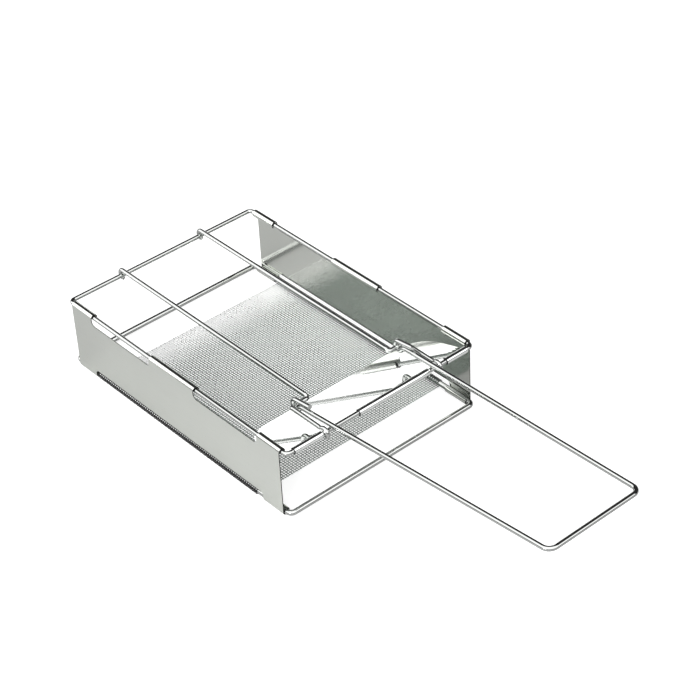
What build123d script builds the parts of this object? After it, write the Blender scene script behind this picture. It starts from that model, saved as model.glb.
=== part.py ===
"""A folding grill basket for a camp stove.

Two wire frames stand one above the other, joined by two side plates of thin
sheet whose edges are curled round the frames' long wires.  Each curl is a
hinge, so the whole basket shears flat.  The lower frame carries a woven
burner mesh.  The upper frame carries two grid wires, a sheet flap on three
knuckles, and a wire handle whose eyes turn on the cranks of the grid wires.

Row frame: origin under the middle of the basket, on the surface it stands on.
+X runs towards the handle, +Z is up.
"""

from build123d import *

import os
from math import atan2, cos, degrees, radians, sin, sqrt

# ---------------------------------------------------------------- sizes, mm
basket_length = 180.0      # front rail to rear rail, wire centre to centre
basket_width = 125.2       # side wire to side wire, centre to centre
basket_height = 38.2       # lower frame to upper frame, centre to centre

base_wire = 3.0            # wire of the lower frame
rail_wire = 2.5            # wire of the upper frame
grid_wire = 2.5            # wire of the two grid wires
handle_wire = 2.7          # wire of the handle
corner_bend = 2.6          # bend at the frames' corners, to the wire's centre

sheet = 0.5                # side plates and flap
play = 0.1                 # room round a wire inside a curl, hook or eye

plate_end_gap = 3.4        # from the frame's end wire to the side plate
plate_shift = 0.4          # the plates sit a little behind the middle
end_curl = 17.2            # length of the top curls at a plate's ends
base_curl = 15.4           # length of its two lower curls
middle_curl = 36.8         # length of the curl in the middle of the top edge
window_depth = 3.8         # upper windows, below the rail's centre
cutout_height = 3.6        # lower cut-out, above the base wire's centre
window_corner = 2.4
curl_wrap = 240.0          # degrees that a curl goes round its wire

mesh_thickness = 0.6       # two crossing mesh wires, rolled flat
mesh_length = 135.0        # front to rear, between the plates' lower curls
mesh_shift = -2.1          # the mesh sits a little behind the middle
hem_wrap = 250.0           # degrees that the mesh hem goes round its wire

run_offset = 27.2          # grid wire, from the middle of the basket
leg_offset = 38.2          # front leg of a grid wire, from the middle
crank_setback = 25.0       # crank of a grid wire, behind the front rail
crank_rise = 1.6           # crank and leg, above the front rail's centre
crank_slope = 2.0          # length over which the wire comes down to its crank
wire_bend = 1.6            # tight bends of the grid wires, to the wire's centre
hook_blend = 3.0           # where a straight wire turns into its hook
rear_hook_end = 262.0      # degrees round the rear rail, from the front
front_hook_end = -30.0     # degrees round the front rail, from the front

flap_length = 41.3         # from the front rail's centre to the flap's edge
flap_side_gap = 2.3        # from the side wire's centre to the flap
flap_angle = 17.5          # how far the flap hangs below level at rest
flap_corner = 17.0         # rounding of the flap's two rear corners
flap_notch = 4.3           # cut back between knuckles, behind the rail's centre
knuckle_inset = 4.5        # from the side wire's centre to the outer knuckles
knuckle_gap = 0.4          # between a knuckle and the leg's hook beside it
middle_knuckle_start = -15.7
right_knuckle_gap = 4.6

handle_length = 170.6      # from the pivot to the centre of the end bar
handle_tilt = 3.4          # degrees above level when it rests on the rail
eye_offset = 34.6          # handle eye, from the middle of the basket
handle_end = 59.6          # width at the end bar, wire centre to centre
handle_corner = 4.5
eye_blend = 4.0            # where the handle wire turns into its eye
tail_length = 10.9         # cut end of the handle wire beyond its eye
tail_rise = 4.0            # degrees between that tail and the handle

# ------------------------------------------------------------ derived places
half_length = basket_length / 2
half_width = basket_width / 2
curl_inner = max(base_wire, rail_wire) / 2 + play
curl_outer = curl_inner + sheet
hem_inner = base_wire / 2 + play
base_z = max(curl_outer, hem_inner + mesh_thickness)    # it stands on the mesh
top_z = base_z + basket_height
plate_face = half_width + curl_inner   # inner face of a side plate

plate_length = basket_length - 2 * plate_end_gap - 2 * abs(plate_shift)
plate_start = plate_shift - plate_length / 2
plate_end = plate_shift + plate_length / 2
window = (plate_length - 2 * end_curl - middle_curl) / 2

hook_radius = (rail_wire + grid_wire) / 2 + play
run_z = top_z + hook_radius
crank_x = half_length - crank_setback
crank_z = top_z + crank_rise

eye_radius = (grid_wire + handle_wire) / 2 + play
knuckle_inner = rail_wire / 2 + play
knuckle_outer = knuckle_inner + sheet

os.makedirs("parts", exist_ok=True)


# ------------------------------------------------------------------- helpers
def on_circle(centre, radius, angle):
    """A point in the upright plane y = centre's y, angle counted from +X up."""
    turn = radians(angle)
    return Vector(centre.X + radius * cos(turn), centre.Y, centre.Z + radius * sin(turn))


def upright_arc(centre, radius, start, end):
    """An arc about a line along Y, drawn in the current BuildLine."""
    middle = (start + end) / 2
    ThreePointArc(*(on_circle(centre, radius, angle) for angle in (start, middle, end)))


def curl_profile(centre, inner, thickness, start, wrap):
    """The section of a sheet's edge rolled round a wire."""
    with BuildSketch() as profile:
        with BuildLine():
            outside = CenterArc(centre, inner + thickness, start, wrap)
            inside = CenterArc(centre, inner, start, wrap)
            Line(outside @ 0, inside @ 0)
            Line(outside @ 1, inside @ 1)
        make_face()
    return profile.sketch


def wire_section(route, diameter):
    """The round section of a wire, square to the start of its route."""
    with BuildSketch(Plane(origin=route @ 0, z_dir=route % 0)) as section:
        Circle(diameter / 2)
    return section.sketch


# -------------------------------------------------------------- lower frame
def frame_route(height):
    """Half of a frame: from the middle of one side, round the front, to the other."""
    return FilletPolyline(
        (0, -half_width, height),
        (half_length, -half_width, height),
        (half_length, half_width, height),
        (0, half_width, height),
        radius=corner_bend,
    )


with BuildPart() as bottom_frame:
    with BuildLine() as bottom_route:
        frame_route(base_z)
    sweep(wire_section(bottom_route.line, base_wire), path=bottom_route.line)
    mirror(about=Plane.YZ)

bottom_frame.part.label = "bottom_frame"
export_step(bottom_frame.part, "parts/bottom_frame.step")


# -------------------------------------------------------------- burner mesh
# One sheet of woven mesh under the long wires, its hems rolled up round them.
mesh_start = mesh_shift - mesh_length / 2

with BuildPart() as burner_mesh:
    with BuildSketch(Plane.YZ.offset(mesh_start)):
        with Locations((0, base_z - hem_inner - mesh_thickness / 2)):
            Rectangle(basket_width, mesh_thickness)
        add(curl_profile((-half_width, base_z), hem_inner, mesh_thickness, 270, -hem_wrap))
        add(curl_profile((half_width, base_z), hem_inner, mesh_thickness, 270, hem_wrap))
    extrude(amount=mesh_length)

burner_mesh.part.label = "burner_mesh"
export_step(burner_mesh.part, "parts/burner_mesh.step")


# -------------------------------------------------------------- side plates
window_starts = (plate_start + end_curl, plate_end - end_curl - window)
top_curls = (
    (plate_start, end_curl),
    (plate_shift - middle_curl / 2, middle_curl),
    (plate_end - end_curl, end_curl),
)
base_curls = ((plate_start, base_curl), (plate_end - base_curl, base_curl))
cutout_length = plate_length - 2 * base_curl

with BuildPart() as left_side_plate:
    # flat sheet, just outside the two long wires
    with BuildSketch(Plane.XZ.offset(plate_face)):
        with Locations((plate_shift, (base_z + top_z) / 2)):
            Rectangle(plate_length, basket_height)
        for start in window_starts:
            with Locations((start + window / 2, top_z)):
                RectangleRounded(window, 2 * window_depth, window_corner, mode=Mode.SUBTRACT)
        with Locations((plate_shift, base_z)):
            RectangleRounded(cutout_length, 2 * cutout_height, window_corner, mode=Mode.SUBTRACT)
    extrude(amount=sheet)
    for start, length in top_curls:
        with BuildSketch(Plane.YZ.offset(start)):
            add(curl_profile((-half_width, top_z), curl_inner, sheet, 180, -curl_wrap))
        extrude(amount=length)
    for start, length in base_curls:
        with BuildSketch(Plane.YZ.offset(start)):
            add(curl_profile((-half_width, base_z), curl_inner, sheet, 180, curl_wrap))
        extrude(amount=length)

left_side_plate.part.label = "left_side_plate"
export_step(left_side_plate.part, "parts/left_side_plate.step")

with BuildPart() as right_side_plate:
    add(left_side_plate.part)
    mirror(about=Plane.XZ, mode=Mode.REPLACE)

right_side_plate.part.label = "right_side_plate"
export_step(right_side_plate.part, "parts/right_side_plate.step")


# -------------------------------------------------------------- upper frame
with BuildPart() as top_frame:
    with BuildLine() as top_route:
        frame_route(top_z)
    sweep(wire_section(top_route.line, rail_wire), path=top_route.line)
    mirror(about=Plane.YZ)

top_frame.part.label = "top_frame"
export_step(top_frame.part, "parts/top_frame.step")


# --------------------------------------------------------------- grid wires
# Hooked over the rear rail, straight along the top, cranked outwards near the
# front, then a low leg that hooks over the front rail.
rear_rail = Vector(-half_length, run_offset, top_z)
front_rail = Vector(half_length, leg_offset, top_z)

blend_height = crank_rise + hook_blend
blend_centre = front_rail + Vector(
    -sqrt((hook_radius + hook_blend) ** 2 - blend_height ** 2), 0, blend_height
)
hook_start = degrees(atan2(blend_height, blend_centre.X - front_rail.X))

with BuildPart() as grid_wire_right:
    with BuildLine() as grid_route:
        upright_arc(rear_rail, hook_radius, rear_hook_end, 90)
        FilletPolyline(
            (-half_length, run_offset, run_z),
            (crank_x - crank_slope, run_offset, run_z),
            (crank_x, run_offset, crank_z),
            (crank_x, leg_offset, crank_z),
            (blend_centre.X, leg_offset, crank_z),
            radius=(wire_bend / 2, wire_bend, wire_bend),
        )
        upright_arc(blend_centre, hook_blend, 270, hook_start + 180)
        upright_arc(front_rail, hook_radius, hook_start, front_hook_end)
    sweep(wire_section(grid_route.line, grid_wire), path=grid_route.line)

grid_wire_right.part.label = "grid_wire_right"
export_step(grid_wire_right.part, "parts/grid_wire_right.step")

with BuildPart() as grid_wire_left:
    add(grid_wire_right.part)
    mirror(about=Plane.XZ, mode=Mode.REPLACE)

grid_wire_left.part.label = "grid_wire_left"
export_step(grid_wire_left.part, "parts/grid_wire_left.step")


# --------------------------------------------------------------------- flap
# Local plane: origin on the front rail, local X down the slope to the rear.
slope = radians(flap_angle)
flap_plane = Plane(
    origin=(half_length, 0, top_z),
    x_dir=(-cos(slope), 0, -sin(slope)),
    z_dir=(-sin(slope), 0, cos(slope)),
)
flap_half = half_width - flap_side_gap
outer_knuckle = half_width - knuckle_inset
hook_side = leg_offset + grid_wire / 2

# knuckles as (from, to) across the basket, left to right
knuckles = (
    (-outer_knuckle, -hook_side - knuckle_gap),
    (middle_knuckle_start, eye_offset - handle_wire),
    (hook_side + right_knuckle_gap, outer_knuckle),
)

with BuildPart() as front_flap:
    with BuildSketch(flap_plane.offset(-knuckle_inner)) as flap_outline:
        with Locations(((flap_notch + flap_length) / 2, 0)):
            Rectangle(flap_length - flap_notch, 2 * flap_half)
        fillet(vertices().group_by(Axis.X)[-1], flap_corner)
        for start, end in knuckles:
            with Locations((flap_notch / 2, -(start + end) / 2)):
                Rectangle(flap_notch, end - start)
    extrude(amount=-sheet)
    # the knuckles go from under the rail round its front and over the top
    for start, end in knuckles:
        with BuildSketch(Plane.XZ.offset(-start)):
            rail_centre = (half_length, top_z)
            leave = 270 + flap_angle
            add(curl_profile(rail_centre, knuckle_inner, sheet, leave, curl_wrap))
        extrude(amount=start - end)

front_flap.part.label = "front_flap"
export_step(front_flap.part, "parts/front_flap.step")


# ------------------------------------------------------------------- handle
# One wire, drawn level and then tilted: X along the handle, origin on the line
# of the two cranks that its eyes turn on.
tilt = radians(handle_tilt)
handle_plane = Plane(
    origin=(crank_x, 0, crank_z),
    x_dir=(cos(tilt), 0, sin(tilt)),
    z_dir=(-sin(tilt), 0, cos(tilt)),
)
eye_centre = Vector(0, eye_offset, 0)
eye_blend_x = sqrt((eye_radius + eye_blend) ** 2 - eye_blend ** 2)
eye_blend_centre = Vector(eye_blend_x, eye_offset, -eye_blend)
eye_end = 360 - degrees(atan2(eye_blend, eye_blend_x))
tail_start = on_circle(eye_centre, eye_radius, 90 + tail_rise)
tail_turn = radians(tail_rise)
tail_tip = tail_start + Vector(cos(tail_turn), 0, sin(tail_turn)) * tail_length
straight_start = 2 * eye_blend_x

with BuildPart() as level_handle:
    with BuildLine() as handle_route:
        Line(tail_tip, tail_start)
        upright_arc(eye_centre, eye_radius, 90 + tail_rise, eye_end)
        upright_arc(eye_blend_centre, eye_blend, eye_end - 180, 90)
        FilletPolyline(
            (eye_blend_x, eye_offset, 0),
            (straight_start, eye_offset, 0),
            (handle_length, handle_end / 2, 0),
            (handle_length, 0, 0),
            radius=(handle_length / 4, handle_corner),
        )
    sweep(wire_section(handle_route.line, handle_wire), path=handle_route.line)
    mirror(about=Plane.XZ)

with BuildPart() as handle:
    with Locations(handle_plane):
        add(level_handle.part)

handle.part.label = "handle"
export_step(handle.part, "parts/handle.step")
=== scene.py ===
# %% [markdown]
# # A folding grill basket, finished in Blender
# The basket is made in CAD from nine pieces: two wire rectangles, two sheet
# sides curled round them, a mesh floor, two grid wires, a sheet flap and a wire
# handle.  Blender is handed those solids already in place, in metres.  This
# lesson gives them their metal, weaves the mesh floor wire by wire, and puts
# the whole thing in a small white studio.

# %% [markdown]
# ## Loading the imported model
# We bring the pieces in, bake each one's placement into its mesh, and drop
# the empties that held them.

from math import asin, cos, degrees, pi, radians, sin

import bpy
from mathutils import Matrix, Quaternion, Vector


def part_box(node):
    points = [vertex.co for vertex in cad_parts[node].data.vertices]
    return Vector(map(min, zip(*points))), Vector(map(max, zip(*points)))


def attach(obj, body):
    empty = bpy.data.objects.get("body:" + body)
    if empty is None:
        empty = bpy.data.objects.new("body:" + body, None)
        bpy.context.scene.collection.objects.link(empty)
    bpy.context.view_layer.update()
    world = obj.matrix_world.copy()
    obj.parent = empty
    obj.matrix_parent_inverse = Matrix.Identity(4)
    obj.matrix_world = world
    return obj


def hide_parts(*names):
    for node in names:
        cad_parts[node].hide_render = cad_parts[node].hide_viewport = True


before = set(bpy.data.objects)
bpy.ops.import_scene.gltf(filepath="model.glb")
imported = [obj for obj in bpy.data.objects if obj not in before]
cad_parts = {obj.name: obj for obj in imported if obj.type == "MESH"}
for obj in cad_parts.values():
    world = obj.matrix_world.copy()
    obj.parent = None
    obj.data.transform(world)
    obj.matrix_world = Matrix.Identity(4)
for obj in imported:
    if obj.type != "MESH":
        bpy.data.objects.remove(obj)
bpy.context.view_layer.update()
print("pieces:", ", ".join(sorted(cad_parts)))


# %% [markdown]
# ## A short way to write shader maths
# A material is a graph of nodes.  Wiring each Math node by hand hides the idea
# behind the finish, so one small class wraps a socket and lets Python's own
# operators add the Math nodes.  A second class holds a material and has one
# method that makes any other kind of node.

# %% Arithmetic on sockets
class Signal:
    """One number or colour travelling through a material's nodes."""

    def __init__(self, finish, socket):
        self.finish = finish
        self.socket = socket

    def math(self, operation, first, second):
        return self.finish.node("Math", {"operation": operation}, {0: first, 1: second})

    def __add__(self, other):
        return self.math("ADD", self, other)

    def __radd__(self, other):
        return self.math("ADD", other, self)

    def __sub__(self, other):
        return self.math("SUBTRACT", self, other)

    def __rsub__(self, other):
        return self.math("SUBTRACT", other, self)

    def __mul__(self, other):
        return self.math("MULTIPLY", self, other)

    def __rmul__(self, other):
        return self.math("MULTIPLY", other, self)


# %% A finish being mixed
class Finish:
    """A node tree for a material or the studio, with one way to add a node."""

    def __init__(self, owner):
        owner.use_nodes = True
        self.owner = owner
        self.tree = owner.node_tree

    def node(self, kind, settings=None, sockets=None, out=0):
        made = self.tree.nodes.new("ShaderNode" + kind)
        for name, value in (settings or {}).items():
            if name == "stops":
                self.set_stops(made.color_ramp, value)
            else:
                setattr(made, name, value)
        for name, value in (sockets or {}).items():
            self.feed(made.inputs[name], value)
        return Signal(self, made.outputs[out])

    def set_stops(self, ramp, stops):
        while len(ramp.elements) < len(stops):
            ramp.elements.new(0.5)
        for element, (place, colour) in zip(ramp.elements, stops):
            element.position = place
            element.color = (*colour, 1.0)

    def feed(self, socket, value):
        if isinstance(value, Signal):
            self.tree.links.new(value.socket, socket)
        else:
            socket.default_value = value

    def place(self, stretch=(1.0, 1.0, 1.0)):
        """Where a point is on the object, in metres, stretched along each axis."""
        spot = self.node("TexCoord", out="Object")
        return self.node("Mapping", {}, {"Vector": spot, "Scale": stretch})

    def cloud(self, stretch, scale, detail=2.0):
        """Soft noise from 0 to 1."""
        place = self.place(stretch)
        return self.node("TexNoise", {}, {"Vector": place, "Scale": scale, "Detail": detail})

    def blend(self, amount, one, other):
        """One colour where amount is 0, the other where it is 1."""
        return self.node(
            "Mix", {"data_type": "RGBA"}, {"Factor": amount, 6: one, 7: other}, out=2
        )


# %% [markdown]
# ## The metals
# Everything here is stainless steel, and what sets the pieces apart is how each
# was made.  Drawn wire is bright, with fine lines from the die.  Rolled sheet is
# satin, with a faint grain along the roll and the odd smudge.  A metal in
# Blender is `Metallic` 1: its base colour tints what it mirrors, and its
# roughness blurs it.  We vary colour, roughness and bump a little over each
# surface, because steel that is perfectly even looks like plastic.

# %% One recipe for steel
SHEARED_AND_SHADED = (0.03, 0.03, 0.03, 1)     # a shear-cut end: dull metal, plus painted shade of the gap at a curl's end
PAINTED_HEM_SHADE = (0.05, 0.05, 0.05, 1)     # painted shade on the cloth's rolled edges
PAINTED_GLARE = (0.96, 0.97, 0.96, 1)      # painted highlight: the back of the cloth made near white
SQUARE_ON = 0.8                     # a face counts as a cut end beyond this
HEM_FADE, GLARE_FADE = 0.003, 0.018  # metres over which those tones fade in


def steel(
    name, dark, light, smooth, rough, grain, grain_depth, smudge=60.0,
    cut=None, hem=None, glare_start=None,
):
    """Steel between two tones and two roughnesses, with a fine grain.

    cut names the axis that its cut ends face, where the metal is dull and dark: partly its own
    dull cut, partly painted shade.
    hem is how far from the middle, left or right, the painted shade of a rolled edge begins.
    glare_start is where, going back, a painted highlight begins; metal behind it is painted
    near white.
    """
    finish = Finish(bpy.data.materials.new(name))
    shader = finish.tree.nodes["Principled BSDF"]
    handling = finish.cloud((1, 1, 1), smudge, 4.0)
    marks = finish.cloud(grain, 1.0, 3.0)
    tone = 0.65 * handling + 0.35 * marks
    colour = finish.blend(tone, (*dark, 1), (*light, 1))
    gloss = smooth + (rough - smooth) * tone
    if cut:
        facing = finish.node("TexCoord", out="Normal")
        along = finish.node("SeparateXYZ", {}, {"Vector": facing}, out=cut)
        dull_and_shaded_end = finish.node(
            "Math", {"operation": "GREATER_THAN"}, {0: along * along, 1: SQUARE_ON}
        )
        # painted shade: cut ends turned near black, partly dull cut metal, partly the shade in
        # the gap where a curl meets its wire
        colour = finish.blend(dull_and_shaded_end, colour, SHEARED_AND_SHADED)
        gloss = gloss + 0.35 * dull_and_shaded_end
    if glare_start:
        forwards = finish.node("SeparateXYZ", {}, {"Vector": finish.place()}, out="X")
        past_glare = finish.node(
            "MapRange", {},
            {"Value": forwards, "From Min": glare_start - GLARE_FADE, "From Max": glare_start},
        )
        # painted highlight: the back of the cloth turned near white
        colour = finish.blend(past_glare, PAINTED_GLARE, colour)
    if hem:
        sideways = finish.node("SeparateXYZ", {}, {"Vector": finish.place()}, out="Y")
        outwards = finish.node("Math", {"operation": "ABSOLUTE"}, {0: sideways})
        hem_shade_mask = finish.node(
            "MapRange", {},
            {"Value": outwards, "From Min": hem, "From Max": hem + HEM_FADE},
        )
        # painted shade: the cloth's rolled edges darkened to near black
        colour = finish.blend(hem_shade_mask, colour, PAINTED_HEM_SHADE)
    finish.feed(shader.inputs["Base Color"], colour)
    finish.feed(shader.inputs["Roughness"], gloss)
    shader.inputs["Metallic"].default_value = 1.0
    bump = finish.node(
        "Bump", {}, {"Height": marks, "Strength": 0.35, "Distance": grain_depth}
    )
    finish.feed(shader.inputs["Normal"], bump)
    print(f"{name}: roughness {smooth} to {rough}")
    return finish.owner


frame_wire = steel(
    "drawn frame wire", (0.46, 0.47, 0.46), (0.57, 0.58, 0.57), 0.02, 0.07,
    (700, 700, 700), 0.00001,
)
grid_wire = steel(
    "drawn grid wire", (0.46, 0.47, 0.46), (0.57, 0.58, 0.57), 0.02, 0.07,
    (700, 700, 700), 0.00001,
)
handle_wire = steel(
    "drawn handle wire", (0.46, 0.47, 0.46), (0.57, 0.58, 0.57), 0.02, 0.07,
    (650, 650, 650), 0.00001,
)
side_sheet = steel(
    "rolled side sheet", (0.63, 0.648, 0.61), (0.73, 0.748, 0.71), 0.05, 0.12,
    (60, 900, 1500), 0.00002, 25.0, "X",
)
flap_sheet = steel(
    "bright flap sheet", (0.86, 0.88, 0.87), (0.94, 0.95, 0.93), 0.03, 0.07,
    (900, 60, 900), 0.000005, 25.0, "Y",
)


# %% [markdown]
# ## Dressing the CAD pieces
# The solids already have the right shape, so each keeps its mesh and only
# gets a material in its slot.

# %% Put each metal on its pieces
def dress(node, material):
    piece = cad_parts[node]
    if not piece.data.materials:
        piece.data.materials.append(material)
    for slot in piece.material_slots:
        slot.material = material


wearing = {
    "bottom_frame": frame_wire,
    "top_frame": frame_wire,
    "grid_wire_left": grid_wire,
    "grid_wire_right": grid_wire,
    "handle": handle_wire,
    "left_side_plate": side_sheet,
    "right_side_plate": side_sheet,
    "front_flap": flap_sheet,
}
for node, material in wearing.items():
    dress(node, material)
print("dressed", len(wearing), "pieces")


# %% [markdown]
# ## Weaving the mesh floor
# The floor is plain-woven wire cloth: each wire goes over one and under the
# next.  A picture of a weave on a flat sheet would look right from above but
# flat from the side, and light couldn't come through it.  So we weave it:
# every wire is a thin four-sided tube with one ring of corners at each
# crossing, which is enough at this size.  The two long edges of the real cloth
# are rolled up round the frame's wires, so first we need the line that the
# cloth follows from one rolled edge to the other.

# %% The line across the cloth
mesh_low, mesh_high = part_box("burner_mesh")
base_low, base_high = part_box("bottom_frame")
base_wire = base_high[2] - base_low[2]
base_height = (base_low[2] + base_high[2]) / 2
side_wire = (base_high[1] - base_low[1] - base_wire) / 2   # centre of a long wire
roll_outside = mesh_high[1] - side_wire
cloth_thick = 0.0006                                       # two wires, rolled flat
roll_radius = roll_outside - cloth_thick / 2
roll_turn = radians(250)                                   # how far a hem wraps

flat_width = 2 * side_wire
roll_length = roll_radius * roll_turn
cloth_width = flat_width + 2 * roll_length


def across(run):
    """Point (y, z) and outward direction at a distance from the left rolled edge."""
    if run < roll_length:
        angle = -pi / 2 - (roll_length - run) / roll_radius
        centre = -side_wire
    elif run > roll_length + flat_width:
        angle = -pi / 2 + (run - roll_length - flat_width) / roll_radius
        centre = side_wire
    else:
        return (run - roll_length - side_wire, base_height - roll_radius), (0.0, -1.0)
    outward = (cos(angle), sin(angle))
    return (centre + roll_radius * outward[0], base_height + roll_radius * outward[1]), outward


print("cloth is", round(1000 * cloth_width, 1), "mm wide before its edges are rolled")


# %% [markdown]
# Now the two sets of wires.  At each crossing one set is pushed up and the
# other down, and the next crossing swaps them.

# %% Weave the wires
pitch = 0.0015
half_wide, half_thick = 0.00027, 0.00015    # the cloth is rolled, so its wire is flat
crimp = cloth_thick / 2 - half_thick        # how far a crossing is pushed up or down
end_trim = 0.0005                           # the weave stops this far inside the sheet
tip_length = 0.0004                         # cut end of a wire beyond its last crossing


def tube_ring(centre, side, up):
    return [
        centre + side * half_wide, centre + up * half_thick,
        centre - side * half_wide, centre - up * half_thick,
    ]


def weave():
    low_x, high_x = mesh_low[0] + end_trim, mesh_high[0] - end_trim
    rows = int((high_x - low_x) / pitch)
    columns = int(cloth_width / pitch)
    row_step = (high_x - low_x) / rows
    column_step = (cloth_width - 2 * half_wide) / columns
    corners, faces = [], []
    along_x, tip = Vector((1, 0, 0)), Vector((tip_length, 0, 0))

    def lay(rings):
        first = len(corners)
        for ring in rings:
            corners.extend(ring)
        for ring in range(len(rings) - 1):
            here = first + 4 * ring
            for side in range(4):
                after = (side + 1) % 4
                faces.append((here + side, here + after, here + 4 + after, here + 4 + side))
        faces.append(tuple(first + side for side in (3, 2, 1, 0)))
        last = first + 4 * (len(rings) - 1)
        faces.append(tuple(last + side for side in range(4)))

    def crossing(row, column, push):
        (y, z), outward = across(half_wide + column * column_step)
        out = Vector((0, *outward))
        return Vector((low_x + row * row_step, y, z)) + out * crimp * push, out

    for column in range(columns + 1):
        rings = []
        for row in range(rows + 1):
            push = 1 if (row + column) % 2 else -1
            spot, out = crossing(row, column, push)
            ends = {0: -tip, rows: tip}.get(row, Vector((0, 0, 0)))
            rings.append(tube_ring(spot + ends, along_x.cross(out), out))
        lay(rings)
    for row in range(rows + 1):
        rings = []
        for column in range(columns + 1):
            push = -1 if (row + column) % 2 else 1
            spot, out = crossing(row, column, push)
            rings.append(tube_ring(spot, along_x, out))
        lay(rings)
    print(f"{columns + 1} wires one way, {rows + 1} the other")
    return corners, faces


corners, faces = weave()
cloth_mesh = bpy.data.meshes.new("woven_cloth")
cloth_mesh.from_pydata(corners, [], faces)
cloth_mesh.shade_smooth()
woven_cloth = bpy.data.objects.new("woven_cloth", cloth_mesh)
bpy.context.scene.collection.objects.link(woven_cloth)
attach(woven_cloth, "base")
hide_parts("burner_mesh")
print("faces in the cloth:", len(faces))

# %% [markdown]
# The cloth's wire is duller than the rest: it is thin, annealed and has been
# over heat. Its back is painted near white, a painted highlight.

# %% Give the cloth its metal
painted_glare_line = -0.046                          # behind this the cloth is painted near white: a painted highlight
cloth_wire = steel(
    "woven cloth wire", (0.235, 0.272, 0.247), (0.46, 0.525, 0.485), 0.20, 0.35,
    (500, 500, 500), 0.00001, 30.0, hem=side_wire - HEM_FADE, glare_start=painted_glare_line,
)
cloth_mesh.materials.append(cloth_wire)


# %% [markdown]
# ## The studio
# Polished steel shows nothing but its surroundings, so the room matters more
# than the lamps.  The basket stands on white, under one large soft light that
# hangs over its near side only.  Everything else is dark: the far side, and a
# band between the floor and the light.  Those two draw the dark lines along
# each side of a wire, with the light as a white line between them.
#
# The floor is near white to the camera but a mid grey to the steel, because a
# mirror of pure white would lose every edge.

# %% White floor
floor_mesh = bpy.data.meshes.new("floor")
reach = 6.0                # metres from the middle to each edge
just_below = -0.0001       # so that it never touches the mesh floor
floor_mesh.from_pydata(
    [(-reach, -reach, 0), (reach, -reach, 0), (reach, reach, 0), (-reach, reach, 0)],
    [], [(0, 1, 2, 3)],
)
floor = bpy.data.objects.new("floor", floor_mesh)
floor.location.z = just_below
bpy.context.scene.collection.objects.link(floor)

paper = Finish(bpy.data.materials.new("white paper"))
paper_shader = paper.tree.nodes["Principled BSDF"]
fibres = paper.cloud((1, 1, 1), 8.0)
seen_directly = paper.node("LightPath", out="Is Camera Ray")
tint = paper.blend(fibres, (0.43, 0.43, 0.43, 1), (0.46, 0.46, 0.46, 1))
paper.feed(paper_shader.inputs["Base Color"], tint)
paper.feed(
    paper_shader.inputs["Emission Color"],
    paper.blend(seen_directly, (0, 0, 0, 1), (1, 1, 1, 1)),
)
paper_shader.inputs["Emission Strength"].default_value = 0.72
paper_shader.inputs["Roughness"].default_value = 0.9
paper_shader.inputs["Specular IOR Level"].default_value = 0.0
floor_mesh.materials.append(paper.owner)
print("floor:", 2 * reach, "m square")

# %% Dark room, bright ceiling on the near side
scene = bpy.context.scene
scene.world = bpy.data.worlds.new("studio")
studio = Finish(scene.world)
direction = studio.node("TexCoord", out="Generated")
height = studio.node("SeparateXYZ", {}, {"Vector": direction}, out="Z")
left_or_right = studio.node("SeparateXYZ", {}, {"Vector": direction}, out="Y")
front_or_back = studio.node("SeparateXYZ", {}, {"Vector": direction}, out="X")
# how far a direction points to the camera's side, 60 degrees right of the handle
near_side = cos(pi / 3) * front_or_back - sin(pi / 3) * left_or_right
light_edge = 0.20          # height, as a share of straight up
overhead = studio.node(
    "MapRange", {},
    {"Value": height, "From Min": light_edge, "From Max": light_edge + 0.10},
)
far_edge = -0.32           # the light ends a little beyond the middle
nearer = studio.node(
    "MapRange", {},
    {"Value": near_side, "From Min": far_edge, "From Max": far_edge + 0.12},
)
sky = studio.tree.nodes["Background"]
studio.feed(
    sky.inputs["Color"],
    studio.blend(overhead * nearer, (0.02, 0.02, 0.02, 1), (1, 1, 1, 1)),
)
sky.inputs["Strength"].default_value = 2.0
print("the light starts", round(degrees(asin(light_edge))), "degrees above the horizon")


# %% [markdown]
# ## Lamps
# Two white cards stand low at the back, and the flap mirrors both: one straight
# on, the other by way of the right side plate.  A small lamp lifts the front of
# the left plate.

# %% Soft lamps
def soft_lamp(name, place, target, size, power):
    lamp = bpy.data.lights.new(name, "AREA")
    lamp.shape = "RECTANGLE"
    lamp.size, lamp.size_y = size
    lamp.energy = power
    holder = bpy.data.objects.new(name, lamp)
    holder.location = place
    aim = Vector(target) - Vector(place)
    holder.rotation_euler = aim.to_track_quat("-Z", "Y").to_euler()
    scene.collection.objects.link(holder)
    print(f"{name}: {power} W")


soft_lamp("back card", (-1.05, 0.66, 0.20), (0, 0, 0.06), (0.56, 0.26), 0.7)
soft_lamp("side card", (-1.05, -0.66, 0.20), (0, 0, 0.06), (0.80, 0.36), 2.0)
soft_lamp("front fill", (0.24, -0.42, 0.30), (0.09, -0.12, 0), (0.20, 0.20), 1.7)

# %% [markdown]
# ## The camera
# The camera looks down at the basket from the handle side.  It is tipped three
# degrees, and its long lens keeps the far edges almost parallel to the near ones.

# %% Place the camera
eye = Vector((0.72025, -0.54279, 0.69938))
looks_at = Vector((0.02766, 0.03282, 0.02))
lens = bpy.data.cameras.new("camera")
lens.sensor_width = 36.0
lens.lens = 109.03
camera = bpy.data.objects.new("camera", lens)
camera.rotation_mode = "QUATERNION"
camera.location = eye
level = (looks_at - eye).to_track_quat("-Z", "Y")
camera.rotation_quaternion = level @ Quaternion((0, 0, 1), radians(-2.993))
scene.collection.objects.link(camera)
scene.camera = camera
scene.view_settings.view_transform = "Standard"
print("camera is", round((looks_at - eye).length, 2), "m away")
